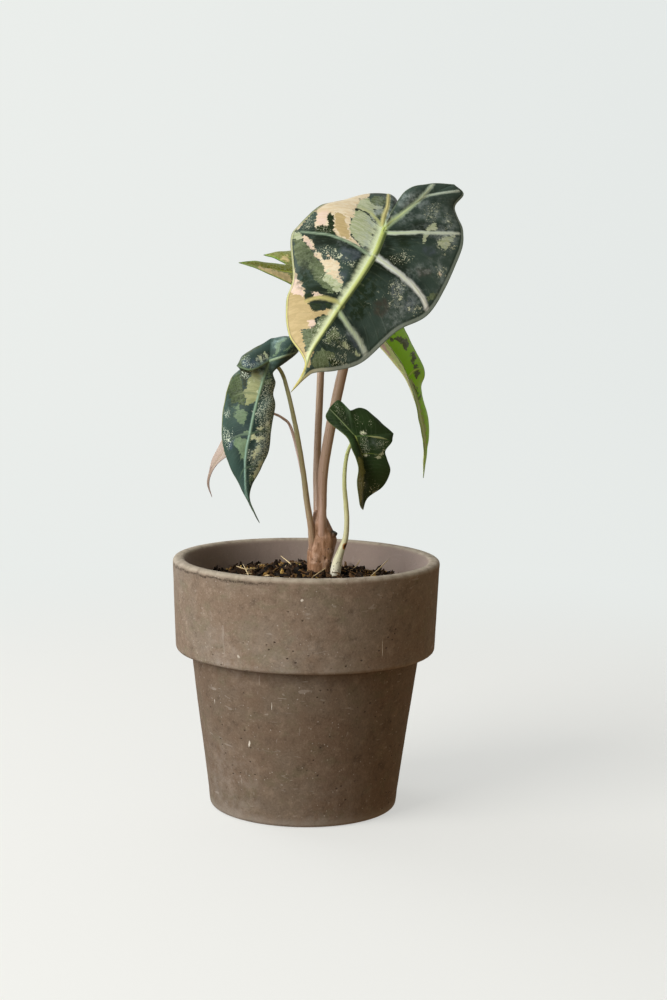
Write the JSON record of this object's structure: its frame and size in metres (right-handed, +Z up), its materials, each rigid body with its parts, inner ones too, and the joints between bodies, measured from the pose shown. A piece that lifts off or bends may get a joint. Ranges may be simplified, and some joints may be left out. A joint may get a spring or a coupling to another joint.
{
  "type": "potted variegated alocasia",
  "caption": "Houseplant with arrow-shaped, cream-flecked dark leaves on slender stems, growing from soil in a tapered matte clay pot with a thick collar.",
  "frame": {"origin": "middle of the part's box, on the plane where the pot's foot stands; the pot's own axis is 3.85 mm towards -X", "axes": "+Z up along the pot's axis, +X to the right and +Y away from the front, with the big leaf's upper side turned to the front"},
  "size_m": [0.1377, 0.13, 0.303],
  "materials": {
    "clay": "unglazed matte grey-brown clay, mottled and slightly worn",
    "earth": "loose dark bark and peat crumbs",
    "bark": "streaked pinkish brown stem skin with small pits",
    "pink_stem": "smooth satin pinkish brown",
    "green_stem": "smooth satin olive to pinkish brown",
    "dark_leaf": "glossy blackish green with pale veins and cream flecks",
    "bright_leaf": "satin bright green with dark mottling",
    "pink_leaf": "satin pinkish beige"
  },
  "bodies": {
    "root": {"pot": "clay", "soil": "earth", "crown": "bark", "stem_big_leaf": "pink_stem", "stem_rear_leaf": "pink_stem", "stem_drooping_leaf": "green_stem", "stem_pink_leaf": "pink_stem", "stem_small_leaf": "green_stem", "blade_big_leaf": "dark_leaf", "blade_rear_leaf": "bright_leaf", "blade_drooping_leaf": "dark_leaf", "blade_pink_leaf": "pink_leaf", "blade_small_leaf": "dark_leaf"}
  },
  "joints": []
}
